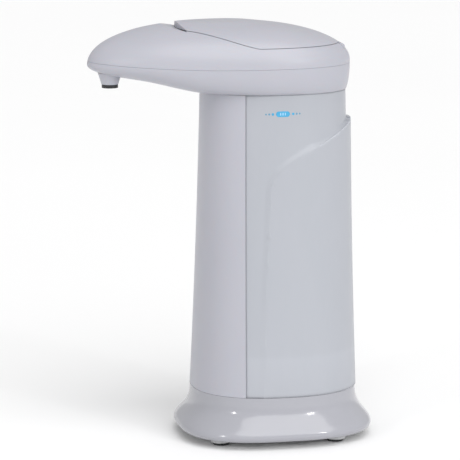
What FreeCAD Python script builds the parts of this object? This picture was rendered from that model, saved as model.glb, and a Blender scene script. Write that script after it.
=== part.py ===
"""Automatic soap dispenser, as an assembly of separate pieces, in millimetres.

+Z is up and the beak points to -Y. Pieces are modelled about the column's upright axis and moved
by COLUMN_Y when they are written, so the origin is the bottom centre of the whole object's box.
"""
import FreeCAD, Part
import os
from math import acos, cos, exp, pi, sin, sqrt, tan

V = FreeCAD.Vector

# ---- driving sizes ------------------------------------------------------------------------------
OVERALL_LENGTH = 179.3      # nose to the rear of the base rim
RIM_HALF_LENGTH = 61.7      # base rim
RIM_HALF_WIDTH = 53.0
RIM_Z = 8.5                 # height of the widest line of the base
RIM_ROUND = 3.5             # rounding under the rim
FLARE_HEIGHT = 9.2          # how quickly the flare dies away above the rim
BASE_TOP = 32.0             # seam between base and column
COLUMN_TOP = 221.0          # seam between column and head
COLUMN_HALF_LENGTH = (52.3, 48.5, 46.0)   # at the base seam, half way, at the head seam
COLUMN_HALF_WIDTH = (45.7, 39.0, 33.5)
COLUMN_POWER = 2.3
WALL = 2.2                  # moulded wall of covers and shells
TANK_WALL = 2.0
SEAM_GAP = 0.3              # open gap at the base, head and lid seams
COVER_GAP = 0.12            # gap between the front cover's rear edge and the tank
TANK_SET_BACK = 0.35        # how far the tank's skin lies inside the column's
COVER_EDGE = (-26.0, -24.0)  # rear edge of the front cover, at the base seam and the head seam
TANK_FLOOR = 58.0
PANEL_DROP = 18.5           # head seam down to the top of the tank's raised panel
PANEL_REAR_SWELL, PANEL_SIDE_SWELL = (1.0, 2.2, 3.4), (0.3, 0.8, 1.4)

BELT_Z = COLUMN_TOP + 17.5  # widest level of the head
DOME_HEIGHT = 26.4
HEAD_REAR = 48.3
HEAD_HALF_WIDTH = 38.5
HEAD_WIDEST_Y = -10.0
CREST_Y = -42.0
DOME_POWER = 2.15
NOSE_POWER, TAIL_POWER = 1.8, 2.3
BELLY_TURN = 75 * pi / 180   # how far the head's side curls under at the column seam
BEAK_DEPTH = 12.4           # belt to the underside, near the nose
PARTING_Z, PARTING_RISE = BELT_Z - 1.1, 3.6
PARTING_GAP = 0.12

LID_SEAM_Z = BELT_Z + 11.5  # level of the lid's seam round the back
LID_CORNER_Y = -15.7        # where that seam starts to climb
LID_FRONT_Y, LID_FRONT_Z = -62.5, LID_SEAM_Z + 10.6
LID_FRONT_RADIUS = 45.0
FACET_START = (-74.0, LID_SEAM_Z + 13.4)
DISH_CENTRE_Y, DISH_HALF_LENGTH, DISH_HALF_WIDTH, DISH_DEPTH = -18.5, 38.5, 13.3, 1.0
DECK_DROP, DECK_THICK = 3.5, 2.1
HINGE_Y, HINGE_Z = 41.0, LID_SEAM_Z - 2.4
HINGE_KNUCKLE_R, HINGE_PIN_R = 2.1, 0.8

NECK_Y, NECK_R, NECK_WALL, NECK_CLEAR = 12.0, 19.0, 2.0, 0.4
NECK_TOP = LID_SEAM_Z - 2.5
NOZZLE_FROM_NOSE, NOZZLE_R, NOZZLE_BORE_R = 14.1, 5.3, 4.2
NOZZLE_CONE_Z = BELT_Z - 12.1
NOZZLE_TIP_Z = NOZZLE_CONE_Z - 2.2
SENSOR_FROM_NOSE, SENSOR_R = 33.6, 6.0
SENSOR_LEDS_X, LED_R, LED_LENGTH = 4.2, 1.2, 1.3
INDICATOR_Z, INDICATOR_R, INDICATOR_LENGTH = BELT_Z + 1.1, 0.75, 5.0
BOARD_Z, BOARD_THICK, BOARD_LENGTH, BOARD_HALF_WIDTH = BELT_Z + 4.5, 1.6, 26.0, 13.0
BOARD_POST_X, BOARD_POST_R = 11.0, 1.8
HEAD_SCREW_X, HEAD_SCREW_Y = 22.0, -36.0
HEAD_SCREW_SEAT_Z, HEAD_POST_TOP_Z = LID_SEAM_Z + 1.0, LID_SEAM_Z - 1.4
HEAD_SCREW_LENGTH = 15.0
DECK_OPENING_REAR_Y, DECK_OPENING_HALF_WIDTH = -27.5, 19.0

FOOT_FRONT, FOOT_REAR = (27.5, -39.0), (33.2, 33.5)
FOOT_PAD_R, FOOT_BOSS_R, FOOT_BOSS_Z, FOOT_PAD_TOP = 5.3, 6.9, 1.8, 3.2

PLATE_Z, PLATE_THICK, PLATE_INSET = 5.6, 2.2, 4.8
CELL_R, CELL_LENGTH, CELL_PITCH, CELL_COUNT = 7.25, 50.5, 14.7, 4
SPRING_R, SPRING_WIRE_R, SPRING_LINK_R, SPRING_TURNS = 3.2, 0.3, 0.24, 3
DOOR_THICK, DOOR_GAP = 1.8, 0.35
RUNNING = 0.05              # radial clearance of pins and shafts
FIT = 0.1                   # clearance of seated pieces

MOTOR_R, MOTOR_HALF_FLAT, MOTOR_LENGTH, MOTOR_FRONT_Y, PUMP_Z = 10.0, 7.5, 25.0, -21.0, 44.0
SHAFT_R = 1.0
GEAR_MODULE, GEAR_TEETH, GEAR_FACE, GEAR_BACKLASH = 1.0, 12, 8.0, 0.15
PUMP_FRONT_Y, PUMP_WALL, PUMP_MARGIN = 6.0, 4.0, 3.0
TUBE_R, TUBE_BORE_R, TUBE_BEND = 3.0, 2.0, 12.0
TUBE_RUN_Y, TUBE_RUN_Z, TUBE_TOP_X = -34.0, BELT_Z - 0.5, 9.0
CABLE_R, CABLE_BEND = 1.6, 8.0

SCREW_R, SCREW_HEAD_R, SCREW_HEAD = 1.4, 2.8, 1.8
SWITCH_Y, SWITCH_TRAVEL, SWITCH_KNOB = -45.0, 4.0, 4.0

# ---- worked out ---------------------------------------------------------------------------------
COLUMN_Y = OVERALL_LENGTH / 2 - RIM_HALF_LENGTH
NOSE_Y = RIM_HALF_LENGTH - OVERALL_LENGTH
REACH = 2 * OVERALL_LENGTH
GEAR_PITCH_R = GEAR_MODULE * GEAR_TEETH / 2
GEAR_TIP_R = GEAR_PITCH_R + GEAR_MODULE
GEAR_DISTANCE = 2 * GEAR_PITCH_R
GEAR_Y = PUMP_FRONT_Y + PUMP_WALL
GEAR_CAVITY = GEAR_FACE + 2 * FIT
NOZZLE_Y = NOSE_Y + NOZZLE_FROM_NOSE
SENSOR_Y = NOSE_Y + SENSOR_FROM_NOSE
HEAD_LOW, HEAD_HIGH = COLUMN_TOP - 21, COLUMN_TOP + 79   # below and above the whole head
BOARD_FRONT_Y = NOSE_Y + 23


# ---- helpers ------------------------------------------------------------------------------------
def write(node, shape):
    """Checks one piece and writes it in the object's own frame."""
    if not shape.isValid() or not shape.Solids:
        raise ValueError(node + " is not a valid solid")
    solids = shape.Solids
    shape = solids[0] if len(solids) == 1 else Part.makeCompound(solids)
    shape = shape.translated(V(0, COLUMN_Y, 0))
    shape.exportStep("parts/" + node + ".step")
    print(node, len(solids), round(shape.Volume, 1))


def block(x0, x1, y0, y1, z0, z1):
    return Part.makeBox(x1 - x0, y1 - y0, z1 - z0, V(x0, y0, z0))


def rod(radius, start, end):
    axis = V(*end) - V(*start)
    return Part.makeCylinder(radius, axis.Length, V(*start), axis)


def cone(radius_0, radius_1, start, end):
    axis = V(*end) - V(*start)
    return Part.makeCone(radius_0, radius_1, axis.Length, V(*start), axis)


def ring(outer, inner, start, end):
    return rod(outer, start, end).cut(rod(inner, start, end))


def joined(shapes):
    return shapes[0].multiFuse(shapes[1:])


def fused(shapes):
    return joined(shapes).removeSplitter()


def signed_power(value, power):
    return (1 if value >= 0 else -1) * abs(value) ** power


def closed_curve(points):
    """A smooth closed outline, split in two mirrored halves where it crosses x = 0."""
    whole = Part.BSplineCurve()
    whole.interpolate(Points=points, PeriodicFlag=True)
    middle = whole.parameter(points[len(points) // 2])
    front, rear = whole.copy(), whole.copy()
    front.segment(whole.FirstParameter, middle)
    rear.segment(middle, whole.LastParameter)
    return Part.Wire([front.toShape(), rear.toShape()])


def superellipse(half_length, half_width, power, z, centre_y=0.0, count=40):
    points = []
    for i in range(count):
        turn = 2 * pi * i / count
        x = half_width * signed_power(sin(turn), 2 / power)
        y = centre_y + half_length * signed_power(cos(turn), 2 / power)
        points.append(V(x, y, z))
    return closed_curve(points)


def side_prism(edges, half_width=REACH):
    """A closed outline in the YZ plane, drawn out across X."""
    face = Part.Face(Part.Wire(edges))
    face.translate(V(-half_width, 0, 0))
    return face.extrude(V(2 * half_width, 0, 0))


def side_line(a, b):
    return Part.LineSegment(V(0, *a), V(0, *b)).toShape()


def side_polygon(points, half_width=REACH):
    edges = [side_line(a, b) for a, b in zip(points, points[1:] + points[:1])]
    return side_prism(edges, half_width)


def side_bezier(points):
    curve = Part.BezierCurve()
    curve.setPoles([V(0, y, z) for y, z in points])
    return curve.toShape()


def mirrored(shape):
    return shape.mirror(V(0, 0, 0), V(1, 0, 0))


# ---- the column's surface -----------------------------------------------------------------------
def through_three(values, share):
    """The quadratic through values at 0, 1/2 and 1."""
    low, middle, high = values
    bend = 2 * (low + high - 2 * middle)
    return low + (high - low - bend) * share + bend * share * share


def column_size(z, inset=0.0):
    share = (z - BASE_TOP) / (COLUMN_TOP - BASE_TOP)
    return (through_three(COLUMN_HALF_LENGTH, share) - inset,
            through_three(COLUMN_HALF_WIDTH, share) - inset)


def column(inset, z0, z1, rear_swell=(0, 0, 0), side_swell=(0, 0, 0)):
    wires = []
    for z in (z0, (z0 + z1) / 2, z1):
        share = (z - BASE_TOP) / (COLUMN_TOP - BASE_TOP)
        half_length, half_width = column_size(z, inset)
        half_length += through_three(rear_swell, share)
        half_width += through_three(side_swell, share)
        wires.append(superellipse(half_length, half_width, COLUMN_POWER, z))
    return Part.makeLoft(wires, True, False)


def behind_cover_edge(offset, z0=BASE_TOP - 5, z1=COLUMN_TOP + 5):
    """The space behind the plane of the cover's rear edge, moved back by offset."""
    slope = (COVER_EDGE[1] - COVER_EDGE[0]) / (COLUMN_TOP - BASE_TOP)
    low = COVER_EDGE[0] + slope * (z0 - BASE_TOP) + offset
    high = COVER_EDGE[0] + slope * (z1 - BASE_TOP) + offset
    return side_polygon([(low, z0), (REACH, z0), (REACH, z1), (high, z1)])


# ---- the base -----------------------------------------------------------------------------------
def base_ring(z, inset):
    """The base's outline at one level: the column's, swelling to the rim."""
    half_length, half_width = column_size(BASE_TOP)
    if z >= RIM_Z:
        share = exp(-((z - RIM_Z) / FLARE_HEIGHT) ** 1.8)
        tuck = 0.0
    else:
        share = 1.0
        tuck = RIM_ROUND * (1 - sqrt(1 - ((RIM_Z - z) / RIM_ROUND) ** 2 * 0.999))
    half_length += share * (RIM_HALF_LENGTH - half_length) - tuck - inset
    half_width += share * (RIM_HALF_WIDTH - half_width) - tuck - inset
    return superellipse(half_length, half_width, COLUMN_POWER + 0.4 * share, z)


def base_solid(inset, low, high, count):
    levels = [low + (high - low) * i / (count - 1) for i in range(count)]
    return Part.makeLoft([base_ring(z, inset) for z in levels], True, False, False, 3)


def make_base():
    bottom = RIM_Z - RIM_ROUND
    outer = base_solid(0, bottom, RIM_Z, 5).fuse(base_solid(0, RIM_Z, BASE_TOP, 12))
    inner = base_solid(WALL + 0.6, RIM_Z, BASE_TOP - WALL, 11)
    mouth = Part.Face(base_ring(RIM_Z, WALL + 0.6)).extrude(V(0, 0, -RIM_ROUND - 1))
    skirt = outer.cut(inner).cut(mouth)
    bosses = []
    for x, y in screw_places():
        bosses.append(rod(SCREW_R + 2.0, (x, y, PLATE_Z + PLATE_THICK), (x, y, BASE_TOP - 1)))
    skirt = fused([skirt] + bosses)
    for x, y in screw_places():
        skirt = skirt.cut(rod(SCREW_R, (x, y, 0), (x, y, PLATE_Z + PLATE_THICK + 10)))
    hatch_y = column_size(BASE_TOP)[0] - 24
    cable_hatch = block(-22, 10, -hatch_y - 12, -hatch_y, BASE_TOP - 5, BASE_TOP + 1)
    write("base_skirt", skirt.cut(cable_hatch))


def screw_places():
    x, y = RIM_HALF_WIDTH - 13.0, 20.0
    return [(-x, -y), (x, -y), (-x, y - 8), (x, y - 8)]


def feet():
    return [(side * x, y) for x, y in (FOOT_FRONT, FOOT_REAR) for side in (-1, 1)]


def tray_size():
    half_x = CELL_LENGTH / 2 + 3.0
    half_y = CELL_PITCH * (CELL_COUNT - 1) / 2 + CELL_R + 0.5
    return half_x, half_y


def door_place():
    """Half width, front edge, hinge axis y and z of the battery door."""
    half_x, half_y = tray_size()
    return half_x - 2.5, -half_y + 0.5, half_y + 4.4, PLATE_Z + DOOR_THICK / 2


def make_bottom_plate():
    top = PLATE_Z + PLATE_THICK
    plate = Part.Face(base_ring(RIM_Z, PLATE_INSET)).extrude(V(0, 0, PLATE_THICK))
    plate.translate(V(0, 0, PLATE_Z - RIM_Z))
    pieces = [plate]
    for x, y in feet():
        pieces.append(cone(FOOT_BOSS_R - 0.4, FOOT_BOSS_R, (x, y, FOOT_BOSS_Z), (x, y, top)))
    half_x, front, hinge_y, hinge_z = door_place()
    for side in (-1, 1):
        ear = block(half_x + 0.5, half_x + 4.0, hinge_y - 2.6, hinge_y + 2.6, PLATE_Z, hinge_z + 2.8)
        pieces.append(ear if side > 0 else mirrored(ear))
    plate = fused(pieces)
    for x, y in feet():
        plate = plate.cut(rod(FOOT_PAD_R + FIT, (x, y, 0), (x, y, FOOT_PAD_TOP)))
    for x, y in screw_places():
        plate = plate.cut(rod(SCREW_R + 0.3, (x, y, 0), (x, y, top + 1)))
        plate = plate.cut(rod(SCREW_HEAD_R + 0.3, (x, y, 0), (x, y, PLATE_Z + SCREW_HEAD * 0.55)))
    opening = block(-half_x - DOOR_GAP, half_x + DOOR_GAP, front - DOOR_GAP, hinge_y + 2.6,
                    PLATE_Z - 1, top + 0.01)
    plate = plate.cut(opening)
    pin_reach = half_x + 3.0
    plate = plate.cut(rod(SHAFT_R + RUNNING, (-pin_reach, hinge_y, hinge_z), (pin_reach, hinge_y, hinge_z)))
    slot_x = SWITCH_TRAVEL / 2 + SWITCH_KNOB / 2 + 0.3
    slot = block(-slot_x, slot_x, SWITCH_Y - 2.3, SWITCH_Y + 2.3, 0, top + 1)
    write("bottom_plate", plate.cut(slot))


def make_door():
    half_x, front, hinge_y, hinge_z = door_place()
    panel = block(-half_x, half_x, front, hinge_y, PLATE_Z, PLATE_Z + DOOR_THICK)
    knuckle = rod(DOOR_THICK * 0.85, (-half_x, hinge_y, hinge_z), (half_x, hinge_y, hinge_z))
    pin_end = half_x + 2.7
    pin = rod(SHAFT_R, (-pin_end, hinge_y, hinge_z), (pin_end, hinge_y, hinge_z))
    door = fused([panel, knuckle, pin])
    for i in range(5):
        y = front + 4 + 2.4 * i
        door = door.cut(block(-9, 9, y, y + 1.0, PLATE_Z - 1, PLATE_Z + 0.6))
    write("battery_door", door)


def make_battery_tray():
    half_x, half_y = tray_size()
    floor = PLATE_Z + PLATE_THICK
    cell_z = floor + CELL_R + 1.2
    roof = cell_z + CELL_R + 1.0
    tray = block(-half_x - 1.5, half_x + 1.5, -half_y - 1.5, half_y + 1.5, floor, roof + 1.5)
    tray = tray.cut(block(-half_x, half_x, -half_y, half_y, floor - 1, roof))
    hinge_room = block(-half_x - 4, half_x + 4, half_y - 0.5, half_y + 9, floor - 1, floor + 1.2)
    write("battery_tray", tray.cut(hinge_room))
    plates, springs = [], []
    for i in range(CELL_COUNT):
        y = CELL_PITCH * (i - (CELL_COUNT - 1) / 2)
        flip = -1 if i % 2 else 1
        start, nub = -CELL_LENGTH / 2, CELL_LENGTH / 2
        can = rod(CELL_R, (start * flip, y, cell_z), ((nub - 1.2) * flip, y, cell_z))
        tip = rod(2.75, ((nub - 1.3) * flip, y, cell_z), (nub * flip, y, cell_z))
        write("battery_%d" % (i + 1), fused([can, tip]))
        plate_x = nub + 0.05
        plate = block(plate_x, plate_x + 0.6, y - 4, y + 4, cell_z - 4, cell_z + 4)
        gap = half_x - CELL_LENGTH / 2 - 2 * SPRING_WIRE_R - FIT
        coil = []
        for turn in range(SPRING_TURNS):
            x = -half_x + SPRING_WIRE_R + RUNNING + gap * turn / (SPRING_TURNS - 1)
            turn_ends = (x - SPRING_WIRE_R, y, cell_z), (x + SPRING_WIRE_R, y, cell_z)
            ring = rod(SPRING_R + SPRING_WIRE_R, *turn_ends)
            coil.append(ring.cut(rod(SPRING_R - SPRING_WIRE_R, *turn_ends)))
            if turn:
                link_z = cell_z + (SPRING_R if turn % 2 else -SPRING_R)
                coil.append(rod(SPRING_LINK_R, (x - gap / (SPRING_TURNS - 1), y, link_z), (x, y, link_z)))
        coil = fused(coil)
        plates.append(plate if flip > 0 else mirrored(plate))
        springs.append(coil if flip > 0 else mirrored(coil))
    write("contact_plates", Part.makeCompound(plates))
    write("contact_springs", Part.makeCompound(springs))


def make_feet_and_screws():
    for i, (x, y) in enumerate(feet()):
        pad = cone(FOOT_PAD_R - 0.5, FOOT_PAD_R, (x, y, 0), (x, y, 0.6))
        pad = fused([pad, rod(FOOT_PAD_R, (x, y, 0.6), (x, y, FOOT_PAD_TOP))])
        write("foot_pad_%d" % (i + 1), pad)
    screws = []
    seat = PLATE_Z + SCREW_HEAD * 0.55
    for x, y in screw_places():
        screws.append(screw((x, y, seat), 1, 11.0))
    write("base_screws", Part.makeCompound(screws))


def screw(seat, direction, length):
    """A pan-head screw whose head rests at seat; direction is +1 when the point is up."""
    x, y, z = seat
    head = rod(SCREW_HEAD_R, (x, y, z - direction * SCREW_HEAD), (x, y, z))
    shank = rod(SCREW_R, (x, y, z), (x, y, z + direction * (length - 1.5)))
    point = cone(SCREW_R, 0.4, (x, y, z + direction * (length - 1.5)), (x, y, z + direction * length))
    cross = block(x - 1.6, x + 1.6, y - 0.35, y + 0.35, z - 2.5, z + 2.5)
    cross = cross.fuse(block(x - 0.35, x + 0.35, y - 1.6, y + 1.6, z - 2.5, z + 2.5))
    recess = rod(1.7, (x, y, z - direction * SCREW_HEAD), (x, y, z - direction * (SCREW_HEAD - 1)))
    return fused([head, shank, point]).cut(cross.common(recess))


def make_power_switch():
    top = PLATE_Z + PLATE_THICK
    half = SWITCH_TRAVEL / 2 + SWITCH_KNOB / 2 + 1.6
    body = block(-half, half, SWITCH_Y - 4, SWITCH_Y + 4, top, top + 5.5)
    room = block(-half + 1, half - 1, SWITCH_Y - 2.4, SWITCH_Y + 2.4, top - 1, top + 3)
    write("power_switch_body", body.cut(room))
    x = -SWITCH_TRAVEL / 2
    knob = block(x - SWITCH_KNOB / 2, x + SWITCH_KNOB / 2, SWITCH_Y - 2, SWITCH_Y + 2, 3.9, top + 2.6)
    for i in (-1, 0, 1):
        groove = block(x + i * 1.2 - 0.25, x + i * 1.2 + 0.25, SWITCH_Y - 3, SWITCH_Y + 3, 3, 4.3)
        knob = knob.cut(groove)
    write("power_switch_knob", knob)


# ---- the column's pieces ------------------------------------------------------------------------
def make_front_cover():
    low, high = BASE_TOP + SEAM_GAP / 2, COLUMN_TOP - SEAM_GAP / 2
    cover = column(0, low, high).cut(column(WALL, low - 1, high + 1)).cut(behind_cover_edge(0))
    write("front_cover", cover)


def raised_panel_region():
    """Side outline of the tank's raised panel: an arch that falls from the rear to the sides."""
    low, high = BASE_TOP - 12, COLUMN_TOP - PANEL_DROP
    bend, shoulder, peak = (-13.0, BASE_TOP + 63), (-9.0, high - 39.5), (10.4, high - 19.7)
    edges = [side_line((REACH, low), (-15.5, low)), side_line((-15.5, low), bend), side_line(bend, shoulder),
             side_bezier([shoulder, (-7.6, high - 30.5), (-1.0, high - 25.5), peak]),
             side_line(peak, (50.0, high)), side_line((50.0, high), (REACH, high)),
             side_line((REACH, high), (REACH, low))]
    return side_prism(edges)


def make_tank():
    low, high = BASE_TOP + SEAM_GAP / 2, COLUMN_TOP - SEAM_GAP / 2
    skin = column(TANK_SET_BACK, low, high).common(behind_cover_edge(COVER_GAP))
    panel = column(TANK_SET_BACK, low, high, PANEL_REAR_SWELL, PANEL_SIDE_SWELL)
    panel = panel.common(raised_panel_region())
    skin = skin.fuse(panel).removeSplitter()
    inset = TANK_SET_BACK + TANK_WALL
    front_wall = behind_cover_edge(COVER_GAP + TANK_WALL)
    roof = COLUMN_TOP - SEAM_GAP / 2 - TANK_WALL
    hollow = column(inset, TANK_FLOOR, roof).common(front_wall)
    bay = column(inset, low - 1, TANK_FLOOR - TANK_WALL).common(front_wall)
    neck = rod(NECK_R + NECK_WALL, (0, NECK_Y, roof), (0, NECK_Y, NECK_TOP))
    tank = skin.cut(hollow).cut(bay)
    tank = tank.fuse(neck).cut(rod(NECK_R, (0, NECK_Y, roof - 1), (0, NECK_Y, NECK_TOP + 1)))
    x, y = inlet_place()
    tank = tank.cut(rod(3.0 + FIT, (x, y, TANK_FLOOR - 5), (x, y, TANK_FLOOR + 1)))
    duct = block(-16, 24, COVER_EDGE[0] - 1, COVER_EDGE[0] + 6, low - 1, TANK_FLOOR - TANK_WALL - 2)
    write("soap_tank", tank.cut(duct))
    seal = ring(5.0, 3.0 + FIT, (x, y, TANK_FLOOR), (x, y, TANK_FLOOR + 1.2))
    write("inlet_seal", seal)
    shell = rod(8.0, (x, y, TANK_FLOOR), (x, y, TANK_FLOOR + 7)).cut(
        rod(7.0, (x, y, TANK_FLOOR - 1), (x, y, TANK_FLOOR + 6)))
    for i in range(6):
        slit = block(-9, 9, -0.6, 0.6, TANK_FLOOR + 1.5, TANK_FLOOR + 5)
        slit = slit.rotated(V(0, 0, 0), V(0, 0, 1), 30 * i)
        slit.translate(V(x, y, 0))
        shell = shell.cut(slit)
    write("tank_strainer", shell)


# ---- the pump -----------------------------------------------------------------------------------
def inlet_place():
    return GEAR_PITCH_R, GEAR_Y + GEAR_FACE / 2 + FIT


def gear(centre_x, turn, bore):
    """A spur gear about Y with involute flanks."""
    base_r = GEAR_PITCH_R * cos(20 * pi / 180)
    root_r = GEAR_PITCH_R - 1.25 * GEAR_MODULE
    involute_at_pitch = tan(20 * pi / 180) - 20 * pi / 180
    half_at_base = (pi * GEAR_MODULE / 2 - GEAR_BACKLASH) / (2 * GEAR_PITCH_R) + involute_at_pitch
    flank = []
    for i in range(6):
        radius = base_r + (GEAR_TIP_R - base_r) * i / 5
        pressure = acos(base_r / radius)
        flank.append((radius, half_at_base - (tan(pressure) - pressure)))
    outline = [(root_r, -half_at_base)] + [(r, -a) for r, a in flank]
    outline += [(r, a) for r, a in reversed(flank)] + [(root_r, half_at_base)]
    points = []
    for tooth in range(GEAR_TEETH):
        middle = turn + 2 * pi * tooth / GEAR_TEETH
        for radius, angle in outline:
            points.append(V(centre_x + radius * cos(middle + angle), GEAR_Y + FIT,
                            PUMP_Z + radius * sin(middle + angle)))
    points.append(points[0])
    body = Part.Face(Part.makePolygon(points)).extrude(V(0, GEAR_FACE, 0))
    return body.cut(rod(bore, (centre_x, GEAR_Y - 1, PUMP_Z), (centre_x, GEAR_Y + GEAR_FACE + 1, PUMP_Z)))


def spigot_place():
    return GEAR_DISTANCE + GEAR_TIP_R, PUMP_Z - GEAR_PITCH_R + 0.5


def pump_screw_places():
    left, right = -GEAR_TIP_R - 0.4, GEAR_DISTANCE + GEAR_TIP_R + 0.4
    return [(left, PUMP_Z - 8.6), (left, PUMP_Z + 8.6), (right, PUMP_Z + 8.6)]


def make_pump():
    left = -GEAR_TIP_R - PUMP_MARGIN
    right = GEAR_DISTANCE + GEAR_TIP_R + PUMP_MARGIN
    low, high = PUMP_Z - GEAR_TIP_R - PUMP_MARGIN - 1.5, PUMP_Z + GEAR_TIP_R + PUMP_MARGIN + 0.5
    back = GEAR_Y + GEAR_CAVITY
    housing = block(left, right, PUMP_FRONT_Y, back, low, high)
    x, y = inlet_place()
    spout = rod(3.0, (x, y, high - 1), (x, y, TANK_FLOOR + 2.5))
    spigot_x, spigot_z = spigot_place()
    spigot = rod(TUBE_BORE_R, (spigot_x, PUMP_FRONT_Y + 1, spigot_z),
                 (spigot_x, PUMP_FRONT_Y - 7, spigot_z))
    legs = [block(px - 3, px + 3, PUMP_FRONT_Y, back, BASE_TOP, low + 1) for px in (left + 3, right - 3)]
    housing = fused([housing, spout, spigot] + legs)
    for centre_x in (0, GEAR_DISTANCE):
        chamber = rod(GEAR_TIP_R + FIT, (centre_x, GEAR_Y, PUMP_Z), (centre_x, back + 1, PUMP_Z))
        housing = housing.cut(chamber)
    housing = housing.cut(rod(1.6, (x, y, PUMP_Z + 3.5), (x, y, TANK_FLOOR + 4)))
    channel_y = PUMP_FRONT_Y + PUMP_WALL / 2
    housing = housing.cut(rod(1.1, (x, GEAR_Y + 2, spigot_z), (x, channel_y, spigot_z)))
    housing = housing.cut(rod(1.1, (x, channel_y, spigot_z), (spigot_x, channel_y, spigot_z)))
    housing = housing.cut(rod(1.1, (spigot_x, channel_y, spigot_z), (spigot_x, PUMP_FRONT_Y - 8, spigot_z)))
    housing = housing.cut(rod(SHAFT_R + RUNNING, (0, PUMP_FRONT_Y - 1, PUMP_Z), (0, GEAR_Y + 1, PUMP_Z)))
    housing = housing.cut(rod(2.4, (0, PUMP_FRONT_Y - 1, PUMP_Z), (0, PUMP_FRONT_Y + 1.6, PUMP_Z)))
    pin_seat = rod(1.5, (GEAR_DISTANCE, GEAR_Y - 2, PUMP_Z), (GEAR_DISTANCE, GEAR_Y + 1, PUMP_Z))
    housing = housing.cut(pin_seat)
    cover = block(left, right, back, back + 2.5, low, high)
    cover = cover.cut(rod(SHAFT_R + RUNNING, (0, back - 1, PUMP_Z), (0, back + 1.5, PUMP_Z)))
    cover = cover.cut(rod(1.5, (GEAR_DISTANCE, back - 1, PUMP_Z), (GEAR_DISTANCE, back + 1.5, PUMP_Z)))
    screws = []
    for sx, sz in pump_screw_places():
        hole = rod(0.9, (sx, back - 7, sz), (sx, back + 3, sz))
        housing, cover = housing.cut(hole), cover.cut(hole)
        shank = rod(0.9, (sx, back - 6, sz), (sx, back + 2.6, sz))
        screws.append(fused([shank, rod(1.7, (sx, back + 2.5, sz), (sx, back + 3.7, sz))]))
    write("pump_housing", housing)
    write("pump_cover", cover)
    write("pump_screws", Part.makeCompound(screws))
    write("drive_gear", gear(0, 0, SHAFT_R))
    write("idler_gear", gear(GEAR_DISTANCE, pi / GEAR_TEETH, 1.5 + RUNNING))
    write("idler_pin", rod(1.5, (GEAR_DISTANCE, GEAR_Y - 2, PUMP_Z), (GEAR_DISTANCE, back + 1.5, PUMP_Z)))
    seal = ring(2.4, SHAFT_R + RUNNING, (0, PUMP_FRONT_Y, PUMP_Z), (0, PUMP_FRONT_Y + 1.6, PUMP_Z))
    write("shaft_seal", seal)


def make_motor():
    end = MOTOR_FRONT_Y + MOTOR_LENGTH
    can = rod(MOTOR_R, (0, MOTOR_FRONT_Y, PUMP_Z), (0, end, PUMP_Z))
    can = can.common(block(-MOTOR_HALF_FLAT, MOTOR_HALF_FLAT, MOTOR_FRONT_Y - 1, end + 1,
                           PUMP_Z - MOTOR_R, PUMP_Z + MOTOR_R))
    boss = rod(3.0, (0, end, PUMP_Z), (0, end + 1.5, PUMP_Z))
    saddle = block(-5, 5, MOTOR_FRONT_Y + 4, end - 4, BASE_TOP, PUMP_Z - MOTOR_R + 1)
    bore = rod(SHAFT_R + RUNNING, (0, end - 12, PUMP_Z), (0, end + 2, PUMP_Z))
    write("motor_can", fused([can, boss]).cut(bore))
    write("motor_saddle", saddle.cut(can))
    write("motor_shaft", rod(SHAFT_R, (0, end - 11.5, PUMP_Z), (0, GEAR_Y + GEAR_CAVITY + 1, PUMP_Z)))


# ---- tubes and cable ----------------------------------------------------------------------------
def rounded_route(points, radius):
    """Straight runs joined by tangent arcs."""
    edges, start = [], V(*points[0])
    for i in range(1, len(points) - 1):
        corner, after = V(*points[i]), V(*points[i + 1])
        back = (V(*points[i - 1]) - corner).normalize()
        ahead = (after - corner).normalize()
        half = back.getAngle(ahead) / 2
        reach = radius / tan(half)
        middle = corner + (back + ahead).normalize() * (radius / sin(half) - radius)
        enter, leave = corner + back * reach, corner + ahead * reach
        edges.append(Part.LineSegment(start, enter).toShape())
        edges.append(Part.Arc(enter, middle, leave).toShape())
        start = leave
    edges.append(Part.LineSegment(start, V(*points[-1])).toShape())
    return Part.Wire(edges)


def swept(points, bend, radius):
    route = rounded_route(points, bend)
    start = V(*points[0])
    profile = Part.Wire(Part.makeCircle(radius, start, V(*points[1]) - start))
    return route.makePipeShell([profile], True, True), route.Length


def make_tube_and_cable():
    spigot_x, spigot_z = spigot_place()
    route = [(spigot_x, PUMP_FRONT_Y - 1, spigot_z), (spigot_x, TUBE_RUN_Y, spigot_z),
             (TUBE_TOP_X, TUBE_RUN_Y, TUBE_RUN_Z), (0, TUBE_RUN_Y - 30, TUBE_RUN_Z),
             (0, NOZZLE_Y + 7, TUBE_RUN_Z)]
    outer, length = swept(route, TUBE_BEND, TUBE_R)
    bore, length = swept(route, TUBE_BEND, TUBE_BORE_R)
    write("riser_tube", outer.cut(bore))
    print("riser tube length", round(length, 1))
    under_deck = BASE_TOP - WALL - CABLE_R - 0.3
    board_level = BOARD_Z - CABLE_R - 0.9
    cable = [(-14, -20, under_deck), (-14, TUBE_RUN_Y - 2, under_deck), (-10, TUBE_RUN_Y, TUBE_RUN_Z - 2),
             (-7, TUBE_RUN_Y - 24, board_level), (-7, TUBE_RUN_Y - 36, board_level)]
    harness, length = swept(cable, CABLE_BEND, CABLE_R)
    write("wire_harness", harness)
    print("wire harness length", round(length, 1))


# ---- the head's surface -------------------------------------------------------------------------
def head_outline(inset, count=48):
    """Points of the widest outline: a blunt nose in front, a fuller tail behind."""
    points = []
    for i in range(count):
        turn = 2 * pi * i / count
        front = cos(turn) < 0
        power = NOSE_POWER if front else TAIL_POWER
        half_length = (HEAD_WIDEST_Y - NOSE_Y if front else HEAD_REAR - HEAD_WIDEST_Y) - inset
        x = (HEAD_HALF_WIDTH - inset) * signed_power(sin(turn), 2 / power)
        y = HEAD_WIDEST_Y + half_length * signed_power(cos(turn), 2 / power)
        points.append((x, y))
    return points


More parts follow.
